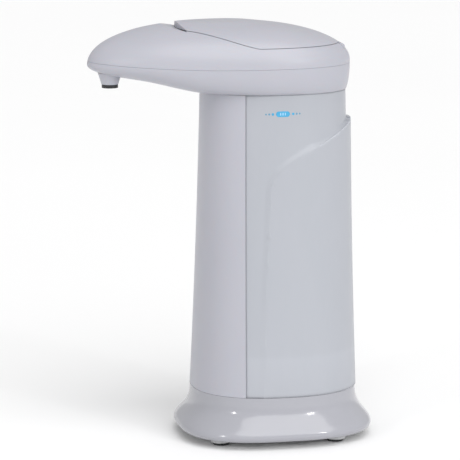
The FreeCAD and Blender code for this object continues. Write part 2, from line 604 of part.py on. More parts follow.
def dome(inset):
    """The head above its belt: shrinking copies of the outline under a smooth crest."""
    outline = head_outline(inset)
    height = DOME_HEIGHT - inset
    wires = []
    for share in (0, 0.22, 0.42, 0.6, 0.75, 0.86, 0.94, 0.985):
        scale = (1 - share ** DOME_POWER) ** (1 / DOME_POWER)
        z = BELT_Z + height * share
        wires.append(closed_curve([V(x * scale, CREST_Y + (y - CREST_Y) * scale, z) for x, y in outline]))
    cap = Part.makeLoft(wires, True, False)
    return cap


def belly(inset):
    """The head below its belt, curving in to the column's outline at the seam."""
    outline = head_outline(inset)
    half_length, half_width = column_size(COLUMN_TOP, inset)
    depth = BELT_Z - COLUMN_TOP
    rise_start = NOSE_Y + 26
    wires = []
    for step in range(7):
        turn = BELLY_TURN * step / 6
        inward = (cos(turn) - cos(BELLY_TURN)) / (1 - cos(BELLY_TURN))
        downward = sin(turn) / sin(BELLY_TURN)
        points = []
        for i, (x, y) in enumerate(outline):
            angle = 2 * pi * i / len(outline)
            low_x = half_width * signed_power(sin(angle), 2 / COLUMN_POWER)
            low_y = half_length * signed_power(cos(angle), 2 / COLUMN_POWER)
            px = low_x + (x - low_x) * inward
            py = low_y + (y - low_y) * inward
            rise = min(max((py - rise_start) / (-half_length - 0.01 - rise_start), 0), 1)
            blend = rise * rise * (3 - 2 * rise)
            drop = (BEAK_DEPTH + (depth - BEAK_DEPTH) * blend - inset) * downward
            points.append(V(px, py, BELT_Z - drop))
        wires.append(closed_curve(points))
    return Part.makeLoft(wires, True, False)


def above_parting(offset):
    y0, reach = -20.0, 100.0
    low = PARTING_Z + offset
    end = (y0 - reach, low + PARTING_RISE)
    top = BELT_Z + 60
    edges = [side_line((REACH, low), (y0, low)), side_bezier([(y0, low), (y0 - reach / 2, low), end]),
             side_line(end, (-REACH, end[1])), side_line((-REACH, end[1]), (-REACH, top)),
             side_line((-REACH, top), (REACH, top)), side_line((REACH, top), (REACH, low))]
    return side_prism(edges)


def seam_edges(offset, front_y):
    """The lid's seam from the rear to the front, moved up by offset."""
    low = LID_SEAM_Z + offset
    front = (LID_FRONT_Y, LID_FRONT_Z + offset)
    sweep = side_bezier([(LID_CORNER_Y, low), (LID_CORNER_Y - 11.8, low + 2.0),
                         (LID_FRONT_Y + 16.5, front[1] - 0.4), front])
    return [side_line((REACH, low), (LID_CORNER_Y, low)), sweep, side_line(front, (front_y, front[1]))]


def above_seam(offset, front_y=LID_FRONT_Y - 0.01):
    top = BELT_Z + 60
    edges = seam_edges(offset, front_y)
    corners = [(front_y, LID_FRONT_Z + offset), (front_y, top), (REACH, top), (REACH, LID_SEAM_Z + offset)]
    edges += [side_line(a, b) for a, b in zip(corners, corners[1:])]
    return side_prism(edges)


def ahead_of_lid(grow):
    """What lies in front of the lid's bowed front edge."""
    centre_y = LID_FRONT_Y + 0.5 + LID_FRONT_RADIUS
    front = block(-REACH, REACH, -REACH, centre_y - LID_FRONT_RADIUS * 0.8, HEAD_LOW, HEAD_HIGH)
    edge = rod(LID_FRONT_RADIUS + grow, (0, centre_y, HEAD_LOW - 10), (0, centre_y, HEAD_HIGH + 10))
    return front.cut(edge)


def facet(drop):
    """The flat finger facet, cut down into the crest in front of the lid."""
    y0, z0 = FACET_START
    y1, z1 = LID_FRONT_Y + 4, LID_FRONT_Z - 0.2
    slope = (z1 - z0) / (LID_FRONT_Y + 1 - y0)
    z0, z1 = z0 - drop, z0 - drop + slope * (y1 - y0)
    start_y, start_z = y0 - 25, z0 - slope * 25
    return side_polygon([(start_y, start_z + 8), (start_y, start_z), (y1, z1), (y1, HEAD_HIGH),
                         (start_y, HEAD_HIGH)])


def crest_z(y):
    reach = (HEAD_REAR if y > CREST_Y else NOSE_Y) - CREST_Y
    share = min(abs((y - CREST_Y) / reach), 0.999)
    return BELT_Z + DOME_HEIGHT * (1 - share ** DOME_POWER) ** (1 / DOME_POWER)


def dish(grow):
    """The lid's shallow oval thumb dish, or with grow, the skin that must stay under it."""
    wires = []
    for i in range(9):
        share = -0.97 + 1.94 * i / 8
        y = DISH_CENTRE_Y + (DISH_HALF_LENGTH + grow) * share
        half = (DISH_HALF_WIDTH + grow) * (1 - share ** 2) ** 0.42
        sag = (half / HEAD_HALF_WIDTH) ** 2 / 2 * DOME_HEIGHT * 1.06
        rim = crest_z(y) - sag
        floor = rim - (DISH_DEPTH * (1 - share ** 4)) - 0.15
        rim, floor = rim - grow * 0.7, floor - grow * 0.9
        top = BELT_Z + DOME_HEIGHT + 20
        a, b = V(-half, y, rim), V(half, y, rim)
        wires.append(Part.Wire([Part.Arc(a, V(0, y, floor), b).toShape(),
                                Part.LineSegment(b, V(half, y, top)).toShape(),
                                Part.LineSegment(V(half, y, top), V(-half, y, top)).toShape(),
                                Part.LineSegment(V(-half, y, top), a).toShape()]))
    return Part.makeLoft(wires, True, False)


def hinge_rod(radius, x0, x1):
    return rod(radius, (x0, HINGE_Y, HINGE_Z), (x1, HINGE_Y, HINGE_Z))


def make_head():
    outer_dome, inner_dome = dome(0), dome(WALL)
    outer_belly, inner_belly = belly(0), belly(WALL)
    outer = outer_dome.fuse(outer_belly)
    inner = inner_dome.fuse(inner_belly)
    upper = outer.common(above_parting(PARTING_GAP / 2))
    make_upper_shell(upper, inner, inner_dome)
    make_lower_shell(outer.cut(above_parting(-PARTING_GAP / 2)), inner, outer)
    make_lid(outer_dome, inner_dome)


def make_upper_shell(upper, inner, inner_dome):
    gap = SEAM_GAP / 2
    lid_room = above_seam(-gap, LID_FRONT_Y - 5).cut(ahead_of_lid(SEAM_GAP))
    upper = upper.cut(lid_room).cut(facet(0))
    wall_y = LID_FRONT_Y - 1
    ahead = side_polygon([(-REACH, HEAD_LOW), (wall_y, HEAD_LOW), (wall_y, HEAD_HIGH), (-REACH, HEAD_HIGH)])
    front_hollow = inner.common(ahead).cut(facet(WALL))
    wall_y = LID_FRONT_Y - 1.01
    behind = side_polygon([(wall_y, HEAD_LOW), (REACH, HEAD_LOW), (REACH, HEAD_HIGH), (wall_y, HEAD_HIGH)])
    under = inner.common(behind)
    under = under.cut(above_seam(-DECK_DROP - DECK_THICK, LID_FRONT_Y - 2))
    tray = inner_dome.common(above_seam(-DECK_DROP, LID_FRONT_Y - 5)).cut(ahead_of_lid(-WALL))
    shell = upper.cut(front_hollow).cut(under).cut(tray)
    shell = shell.cut(rod(NECK_R + NECK_WALL + NECK_CLEAR, (0, NECK_Y, HEAD_LOW), (0, NECK_Y, HEAD_HIGH)))
    for side in (-1, 1):
        x = side * HEAD_SCREW_X
        shell = shell.cut(rod(SCREW_R + 0.2, (x, HEAD_SCREW_Y, BELT_Z), (x, HEAD_SCREW_Y, HEAD_HIGH)))
        seat = rod(SCREW_HEAD_R + 0.4, (x, HEAD_SCREW_Y, HEAD_SCREW_SEAT_Z),
                   (x, HEAD_SCREW_Y, HEAD_SCREW_SEAT_Z + 5))
        shell = shell.cut(seat)
    reach = 13.3
    pocket = hinge_rod(4.4, -reach, reach).common(block(-20, 20, HINGE_Y - 11, HINGE_Y + 19,
                                                 LID_SEAM_Z - DECK_DROP, HEAD_HIGH))
    pocket = pocket.fuse(hinge_rod(HINGE_KNUCKLE_R + 0.4, -reach, reach))
    shell = shell.cut(pocket)
    knuckles = []
    for x0, x1 in ((-13.2, -9.9), (-4.1, 4.1), (9.9, 13.2)):
        leaf = block(x0, x1, HINGE_Y - HINGE_KNUCKLE_R, HINGE_Y + 0.6, HINGE_Z - 5.5, HINGE_Z)
        knuckle = hinge_rod(HINGE_KNUCKLE_R, x0, x1).fuse(leaf)
        knuckles.append(knuckle.cut(hinge_rod(HINGE_PIN_R, -12.4, 12.4)))
    write("head_upper_shell", joined([shell] + knuckles))


def make_lower_shell(lower, inner, outer):
    nozzle = cone(NOZZLE_R + 2.2, NOZZLE_R, (0, NOZZLE_Y, BELT_Z - 5), (0, NOZZLE_Y, NOZZLE_CONE_Z))
    screw_posts, board_posts = [], []
    for side in (-1, 1):
        x = side * HEAD_SCREW_X
        foot, top = (x, HEAD_SCREW_Y, COLUMN_TOP + 1), (x, HEAD_SCREW_Y, HEAD_POST_TOP_Z)
        screw_posts.append(rod(SCREW_R + 2.2, foot, top))
        x = side * BOARD_POST_X
        rear_y = BOARD_FRONT_Y + BOARD_LENGTH - 3
        for y, low in ((BOARD_FRONT_Y + 3, BELT_Z - 6.2), (rear_y, BELT_Z - 10.9)):
            board_posts.append(rod(BOARD_POST_R, (x, y, low), (x, y, BOARD_Z)))
    shell = joined([lower.cut(inner), nozzle] + screw_posts + board_posts)
    ahead = [(-REACH, HEAD_LOW), (DECK_OPENING_REAR_Y, HEAD_LOW), (DECK_OPENING_REAR_Y, BELT_Z),
             (-REACH, BELT_Z)]
    opening = column(WALL + 4, COLUMN_TOP - 2, COLUMN_TOP + 4)
    opening = opening.common(side_polygon(ahead, DECK_OPENING_HALF_WIDTH))
    shell = shell.cut(opening.cut(fused(screw_posts)))
    neck_room = rod(NECK_R + NECK_WALL + NECK_CLEAR, (0, NECK_Y, HEAD_LOW), (0, NECK_Y, COLUMN_TOP + 9))
    shell = shell.cut(neck_room)
    shell = shell.cut(rod(NOZZLE_BORE_R, (0, NOZZLE_Y, NOZZLE_TIP_Z - 4), (0, NOZZLE_Y, BELT_Z)))
    shell = shell.cut(rod(SENSOR_R, (0, SENSOR_Y, HEAD_LOW), (0, SENSOR_Y, BELT_Z - 3)))
    led_end = NOSE_Y + INDICATOR_LENGTH
    shell = shell.cut(rod(INDICATOR_R + RUNNING, (0, NOSE_Y - 3, INDICATOR_Z), (0, led_end, INDICATOR_Z)))
    for side in (-1, 1):
        x = side * HEAD_SCREW_X
        hole = rod(SCREW_R, (x, HEAD_SCREW_Y, HEAD_SCREW_SEAT_Z - HEAD_SCREW_LENGTH),
                   (x, HEAD_SCREW_Y, HEAD_POST_TOP_Z + 1))
        shell = shell.cut(hole)
    write("head_lower_shell", shell)
    window = rod(SENSOR_R - FIT, (0, SENSOR_Y, HEAD_LOW), (0, SENSOR_Y, BELT_Z - 3))
    write("sensor_window", window.common(outer).cut(inner))
    write("indicator_lens", rod(INDICATOR_R, (0, NOSE_Y + 0.15, INDICATOR_Z), (0, led_end, INDICATOR_Z)))


def make_lid(outer_dome, inner_dome):
    gap = SEAM_GAP / 2
    lid = outer_dome.common(above_seam(gap, LID_FRONT_Y - 5)).cut(ahead_of_lid(0))
    hollow = inner_dome.common(above_seam(-2, LID_FRONT_Y - 5)).cut(ahead_of_lid(-WALL)).cut(dish(WALL))
    lid = lid.cut(dish(0)).cut(hollow)
    plug_r = NECK_R - 2.0
    plug_low = NECK_TOP - 1.5
    stem = ring(plug_r, plug_r - 1.6, (0, NECK_Y, plug_low), (0, NECK_Y, LID_SEAM_Z + 12))
    lid = lid.fuse(stem.common(outer_dome).cut(dish(0.6)))
    knuckles = []
    for side in (-1, 1):
        arm = block(4.5, 9.5, HINGE_Y - 3.5, HINGE_Y, HINGE_Z, HINGE_Z + 4.2).common(outer_dome)
        arm = arm.fuse(hinge_rod(HINGE_KNUCKLE_R, 4.5, 9.5)).cut(hinge_rod(HINGE_PIN_R + RUNNING, 4, 10))
        knuckles.append(arm if side > 0 else mirrored(arm))
    room = HINGE_KNUCKLE_R + 0.45
    clear = [hinge_rod(room, -4.4, 4.4), hinge_rod(room, 9.6, 13.5), hinge_rod(room, -13.5, -9.6)]
    write("lid", joined([lid.cut(fused(clear))] + knuckles))
    write("lid_hinge_pin", hinge_rod(HINGE_PIN_R, -12.4, 12.4))
    gasket = ring(NECK_R - 0.4, plug_r, (0, NECK_Y, plug_low), (0, NECK_Y, plug_low + 3.0))
    write("lid_gasket", gasket)


def make_nozzle():
    seat_z = NOZZLE_CONE_Z + 4
    valve_z = seat_z + 1.2
    tip = ring(NOZZLE_R - 0.2, 1.4, (0, NOZZLE_Y, NOZZLE_TIP_Z), (0, NOZZLE_Y, NOZZLE_CONE_Z))
    stem = ring(NOZZLE_BORE_R - FIT, 1.4, (0, NOZZLE_Y, NOZZLE_CONE_Z), (0, NOZZLE_Y, seat_z))
    write("nozzle_tip", tip.fuse(stem).removeSplitter())
    write("outlet_valve", ring(NOZZLE_BORE_R - FIT, 1.2, (0, NOZZLE_Y, seat_z), (0, NOZZLE_Y, valve_z)))
    z = TUBE_RUN_Z
    body = rod(NOZZLE_BORE_R - FIT, (0, NOZZLE_Y, valve_z), (0, NOZZLE_Y, z + 4))
    elbow = body.fuse(rod(TUBE_BORE_R, (0, NOZZLE_Y, z), (0, NOZZLE_Y + 12, z)))
    elbow = elbow.cut(rod(1.2, (0, NOZZLE_Y, seat_z), (0, NOZZLE_Y, z)))
    write("nozzle_elbow", elbow.cut(rod(1.2, (0, NOZZLE_Y, z), (0, NOZZLE_Y + 13, z))))


def make_boards():
    y, top = BOARD_FRONT_Y, BOARD_Z + BOARD_THICK
    board = block(-BOARD_HALF_WIDTH, BOARD_HALF_WIDTH, y, y + BOARD_LENGTH, BOARD_Z, top)
    chips = [block(-5, 4, y + 7, y + 16, top, top + 1.6), rod(2.5, (8, y + 19, top), (8, y + 19, top + 5.4)),
             block(-12, -7, y + 18, y + 24, top, top + 3.4)]
    write("control_board", fused([board] + chips))
    z = BELT_Z - BEAK_DEPTH + WALL + 5.2
    wing = block(2.5, 9.5, SENSOR_Y - 5, SENSOR_Y + 5, z, z + 1.0)
    bridge = block(-9.5, 9.5, SENSOR_Y - 5, SENSOR_Y - 3.6, z, z + 1.0)
    write("sensor_board", fused([wing, mirrored(wing), bridge]))
    for name, side in (("ir_emitter", -1), ("ir_receiver", 1)):
        x = side * SENSOR_LEDS_X
        tip = z - LED_LENGTH
        dome_end = Part.makeSphere(LED_R, V(x, SENSOR_Y, tip))
        write(name, fused([rod(LED_R, (x, SENSOR_Y, z), (x, SENSOR_Y, tip)), dome_end]))
    screws = [screw((side * HEAD_SCREW_X, HEAD_SCREW_Y, HEAD_SCREW_SEAT_Z), -1, HEAD_SCREW_LENGTH)
              for side in (-1, 1)]
    write("head_screws", Part.makeCompound(screws))


os.makedirs("parts", exist_ok=True)
make_base()
make_bottom_plate()
make_door()
make_battery_tray()
make_feet_and_screws()
make_power_switch()
make_front_cover()
make_tank()
make_pump()
make_motor()
make_tube_and_cable()
make_head()
make_nozzle()
make_boards()
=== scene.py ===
import math

import bmesh
import bpy
from bpy.props import FloatProperty, FloatVectorProperty, IntProperty, PointerProperty
from mathutils import Matrix, Vector
from mathutils.bvhtree import BVHTree
from mathutils.geometry import interpolate_bezier
from mathutils.kdtree import KDTree


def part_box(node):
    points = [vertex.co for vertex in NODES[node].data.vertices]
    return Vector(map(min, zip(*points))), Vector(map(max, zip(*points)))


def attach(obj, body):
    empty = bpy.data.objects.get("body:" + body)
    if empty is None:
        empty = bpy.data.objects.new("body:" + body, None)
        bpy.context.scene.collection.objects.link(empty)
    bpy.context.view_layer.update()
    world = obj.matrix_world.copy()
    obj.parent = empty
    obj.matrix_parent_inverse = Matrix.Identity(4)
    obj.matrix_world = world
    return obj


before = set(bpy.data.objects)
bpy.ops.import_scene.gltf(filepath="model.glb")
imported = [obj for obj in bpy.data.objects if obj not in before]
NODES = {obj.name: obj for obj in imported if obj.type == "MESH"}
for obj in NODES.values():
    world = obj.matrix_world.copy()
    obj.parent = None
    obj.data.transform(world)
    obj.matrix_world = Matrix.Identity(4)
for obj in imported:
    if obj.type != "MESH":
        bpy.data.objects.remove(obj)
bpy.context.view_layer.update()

bl_info = {
    "name": "Soap dispenser finish",
    "version": (1, 0, 0),
    "blender": (4, 5, 0),
    "location": "3D View > Sidebar > Dispenser",
    "description": "Finishes, printed mark and studio for a hands-free soap dispenser",
    "category": "Object",
}

MM = 0.001
EVEN = (1.0, 1.0, 1.0)
NOISE_LOW, NOISE_HIGH = 0.3, 0.7     # where most of a noise's values lie


# ---- settings -------------------------------------------------------------------------------
def colour(name, description, default):
    return FloatVectorProperty(name=name, description=description, subtype="COLOR", size=3, min=0.0,
                               max=1.0, default=default)


def length(name, description, default_mm):
    return FloatProperty(name=name, description=description, default=default_mm * MM, unit="LENGTH",
                         precision=5)


def share(name, description, default, top=1.0):
    return FloatProperty(name=name, description=description, default=default, min=0.0, max=top)


class DispenserFinish(bpy.types.PropertyGroup):
    satin: colour("Satin cover", "Colour of the front cover, head shells and lid", (0.405, 0.405, 0.452))
    gloss: colour("Base", "Colour of the polished base skirt", (0.345, 0.347, 0.381))
    tank: colour("Tank", "Colour of the frosted tank wall", (0.473, 0.489, 0.536))
    inner: colour("Inner mouldings", "Colour of the mouldings inside and underneath", (0.62, 0.62, 0.63))
    acetal: colour("Gears", "Colour of the acetal gears", (0.72, 0.71, 0.66))
    rubber: colour("Rubber", "Colour of the black feet and nozzle ring", (0.016, 0.016, 0.018))
    seal: colour("Seals", "Colour of the silicone seals", (0.19, 0.20, 0.215))
    board: colour("Boards", "Solder mask of the circuit boards", (0.012, 0.12, 0.035))
    steel: colour("Steel", "Colour of pins, screws and the motor can", (0.52, 0.52, 0.53))
    jacket: colour("Cell jacket", "Main colour of the battery jackets", (0.035, 0.045, 0.07))
    jacket_end: colour("Cell jacket end", "Band at the plus end of the batteries", (0.56, 0.23, 0.07))
    grain: length("Moulding grain", "Size of the satin grain on moulded covers", 0.55)


class DispenserMark(bpy.types.PropertyGroup):
    ink: colour("Ink", "Colour of the printed filled-to mark", (0.055, 0.330, 0.560))
    ink_faint: colour("Faint ink", "Colour of the smallest dots", (0.135, 0.300, 0.430))
    bars: colour("Bars", "Colour of the three bars inside the mark", (0.330, 0.560, 0.760))
    centre_y: length("Place along the side", "Middle of the mark, from the middle of the object", 26.8)
    centre_z: length("Height", "Height of the mark above the counter", 209.2)
    width: length("Width", "Width of the capsule", 8.8)
    height: length("Height of capsule", "Height of the capsule", 3.5)
    film: length("Ink thickness", "Thickness of the ink", 0.04)


class DispenserTank(bpy.types.PropertyGroup):
    axis_y: length("Column axis", "The column's upright axis, from the middle of the object", 27.95)
    film: length("Skin thickness", "How far the frosted skin stands off the tank's wall", 0.05)
    shoulder: length("Shoulder", "Width of the round shoulder beside the raised panel", 3.4)
    rows: IntProperty(name="Rows", description="Rows of faces up the skin", default=170, min=20)
    columns: IntProperty(name="Columns", description="Columns of faces round the skin", default=150, min=20)


class DispenserStage(bpy.types.PropertyGroup):
    azimuth: FloatProperty(name="Azimuth", description="Direction of the camera round the object",
                           subtype="ANGLE", default=math.radians(78.0))
    elevation: FloatProperty(name="Elevation", description="Height of the camera above the horizon",
                             subtype="ANGLE", default=math.radians(10.7))
    distance: FloatProperty(name="Distance", description="Camera distance", unit="LENGTH", default=1.9)
    lens: FloatProperty(name="Lens", description="Focal length for a 36 mm sensor", unit="CAMERA",
                        default=235.8)
    aim_y: length("Aim along the object", "Point that the camera looks at, front to back", 0.55)
    aim_z: length("Aim height", "Height of the point that the camera looks at", 131.3)
    sky: share("Room light", "Strength of the even light of the studio", 0.63, 10.0)
    key: share("Key light", "Strength of the main light, from beside the camera", 1.9, 50.0)
    floor: share("Floor", "Grey level of the pale floor", 0.93)
    segments: IntProperty(name="Floor sides", description="Sides of the round floor", default=64, min=8)


# ---- node helpers ---------------------------------------------------------------------------
class Finish:
    """A procedural material: one shader and the nodes that give it grain, tone and gloss changes."""

    def __init__(self, name, base, roughness, **sockets):
        self.material = bpy.data.materials.new(name)
        self.material.use_nodes = True
        self.material.diffuse_color = (*base, 1.0)
        self.tree = self.material.node_tree
        self.tree.nodes.clear()
        output = self.add("ShaderNodeOutputMaterial")
        self.shader = self.add("ShaderNodeBsdfPrincipled")
        self.join(self.shader, "BSDF", output, "Surface")
        self.place = self.add("ShaderNodeTexCoord")
        self.base = base
        self.shader.inputs["Base Color"].default_value = (*base, 1.0)
        self.shader.inputs["Roughness"].default_value = roughness
        for socket, value in sockets.items():
            self.shader.inputs[socket.replace("_", " ")].default_value = value
        self.normal = None

    def add(self, kind, **options):
        node = self.tree.nodes.new(kind)
        for key, value in options.items():
            setattr(node, key, value)
        return node

    def join(self, source, output, target, name):
        self.tree.links.new(source.outputs[output], target.inputs[name])

    def noise(self, size, detail=2.0, stretch=EVEN):
        """Noise whose lumps are about size metres across, drawn out along an axis by stretch."""
        source, output = self.place, "Object"
        if stretch != EVEN:
            mapping = self.add("ShaderNodeMapping")
            mapping.inputs["Scale"].default_value = stretch
            self.join(self.place, "Object", mapping, "Vector")
            source, output = mapping, "Vector"
        node = self.add("ShaderNodeTexNoise")
        node.inputs["Scale"].default_value = 1.0 / size
        node.inputs["Detail"].default_value = detail
        self.join(source, output, node, "Vector")
        return node

    def bump(self, node, output, depth, strength=1.0):
        bump = self.add("ShaderNodeBump")
        bump.inputs["Strength"].default_value = strength
        bump.inputs["Distance"].default_value = depth
        self.join(node, output, bump, "Height")
        if self.normal:
            self.join(self.normal, "Normal", bump, "Normal")
        self.normal = bump
        self.join(bump, "Normal", self.shader, "Normal")

    def tones(self, node, output, spread, tint=EVEN):
        """Lets the base colour drift by spread over the lumps of a noise; tint colours its dark end."""
        ramp = self.add("ShaderNodeValToRGB")
        dark = [c * (1 - spread) * t for c, t in zip(self.base, tint)]
        light = [min(1.0, c * (1 + spread)) for c in self.base]
        ramp.color_ramp.elements[0].position = NOISE_LOW
        ramp.color_ramp.elements[1].position = NOISE_HIGH
        ramp.color_ramp.elements[0].color = (*dark, 1.0)
        ramp.color_ramp.elements[1].color = (*light, 1.0)
        self.join(node, output, ramp, "Fac")
        return ramp

    def gloss_changes(self, node, output, low, high):
        spread = self.add("ShaderNodeMapRange")
        spread.inputs["From Min"].default_value = NOISE_LOW
        spread.inputs["From Max"].default_value = NOISE_HIGH
        spread.inputs["To Min"].default_value = low
        spread.inputs["To Max"].default_value = high
        self.join(node, output, spread, "Value")
        self.join(spread, "Result", self.shader, "Roughness")

    def along(self, axis, stops):
        """A ramp along one object axis; stops are (metres, grey or colour) pairs from low to high."""
        parts = self.add("ShaderNodeSeparateXYZ")
        self.join(self.place, "Object", parts, "Vector")
        low, high = stops[0][0], stops[-1][0]
        span = self.add("ShaderNodeMapRange")
        span.inputs["From Min"].default_value = low
        span.inputs["From Max"].default_value = high
        self.join(parts, axis, span, "Value")
        ramp = self.add("ShaderNodeValToRGB")
        elements = ramp.color_ramp.elements
        while len(elements) < len(stops):
            elements.new(0.5)
        for element, (place, value) in zip(elements, stops):
            element.position = (place - low) / (high - low)
            element.color = (value, value, value, 1.0) if isinstance(value, float) else (*value, 1.0)
        self.join(span, "Result", ramp, "Fac")
        return ramp

    def multiply(self, first, second):
        mix = self.add("ShaderNodeMix", data_type="RGBA", blend_type="MULTIPLY")
        mix.inputs["Factor"].default_value = 1.0
        self.tree.links.new(first.outputs["Color"], mix.inputs["A"])
        self.tree.links.new(second.outputs["Color"], mix.inputs["B"])
        return mix

    def paint(self, node, output="Color"):
        self.tree.links.new(node.outputs[output], self.shader.inputs["Base Color"])


def finish_settings():
    return bpy.context.scene.dispenser_finish


def dress(finish, *names):
    """Gives CAD nodes a finish."""
    for name in names:
        if name not in NODES:
            raise RuntimeError("no node named " + name)
        slots = NODES[name].data.materials
        slots.clear()
        slots.append(finish.material)


def moulded(name, base, roughness, grain, depth, spread=0.012, **sockets):
    """A moulded plastic: even fine grain, faint flow tones and small changes of gloss."""
    finish = Finish(name, base, roughness, **sockets)
    flow = finish.noise(0.035, 3.0, (1.0, 1.0, 0.45))
    finish.paint(finish.tones(flow, "Fac", spread, (0.99, 1.0, 1.0)))
    finish.gloss_changes(finish.noise(0.012, 2.0), "Fac", roughness * 0.92, roughness * 1.1)
    finish.bump(finish.noise(grain, 2.0), "Fac", depth, 0.6)
    return finish


# ---- operators ------------------------------------------------------------------------------
class DISPENSER_OT_satin_covers(bpy.types.Operator):
    """Finishes the front cover, the two head shells and the lid in satin plastic"""

    bl_idname = "dispenser.satin_covers"
    bl_label = "Satin covers"

    def execute(self, context):
        s = finish_settings()
        finish = moulded("satin_cover", s.satin, 0.36, s.grain, 0.000018, 0.012, IOR=1.5,
                         Subsurface_Weight=0.06, Subsurface_Scale=0.004)
        dress(finish, "front_cover", "head_upper_shell", "head_lower_shell", "lid")
        return {"FINISHED"}


class DISPENSER_OT_base(bpy.types.Operator):
    """Finishes the polished base skirt, and the plate, door and tray under it"""

    bl_idname = "dispenser.base"
    bl_label = "Base"

    def execute(self, context):
        s = finish_settings()
        gloss = Finish("polished_base", s.gloss, 0.17, IOR=1.5, Coat_Weight=0.25, Coat_Roughness=0.06)
        gloss.paint(gloss.tones(gloss.noise(0.03, 3.0), "Fac", 0.010))
        gloss.gloss_changes(gloss.noise(0.008, 3.0), "Fac", 0.13, 0.20)
        gloss.bump(gloss.noise(0.004, 1.0), "Fac", 0.000006, 0.35)
        dress(gloss, "base_skirt")
        under = moulded("moulded_underside", s.inner, 0.45, s.grain, 0.00003, 0.02)
        dress(under, "bottom_plate", "battery_door", "battery_tray")
        return {"FINISHED"}


class DISPENSER_OT_tank(bpy.types.Operator):
    """Finishes the tank in frosted translucent plastic, paler where the pump bay starts, with painted shade
    darkening it at both seams
    """

    bl_idname = "dispenser.tank"
    bl_label = "Soap tank"

    # height above the counter in metres, and how pale the wall is there: painted shade darkens it at both
    # seams, at the rounded bottom edge and under the head
    BANDS = [(0.0320, 0.86), (0.0345, 1.00), (0.0555, 1.05), (0.0590, 1.01),
             (0.1400, 1.00), (0.2000, 0.985), (0.2190, 0.95), (0.2210, 0.88)]

    def execute(self, context):
        s = finish_settings()
        finish = Finish("frosted_tank", s.tank, 0.33, IOR=1.49, Subsurface_Weight=0.22,
                        Subsurface_Scale=0.006)
        finish.shader.inputs["Subsurface Radius"].default_value = (0.8, 0.9, 1.0)
        clouds = finish.tones(finish.noise(0.028, 3.0, (1.0, 1.0, 0.35)), "Fac", 0.016, (0.99, 1.0, 1.0))
        # paints shade along the height: darker at both seams, paler in a band low down
        finish.paint(finish.multiply(clouds, finish.along("Z", self.BANDS)), "Result")
        finish.gloss_changes(finish.noise(0.009, 3.0), "Fac", 0.29, 0.38)
        finish.bump(finish.noise(0.0008, 2.0), "Fac", 0.000014, 0.5)
        dress(finish, "soap_tank")
        return {"FINISHED"}


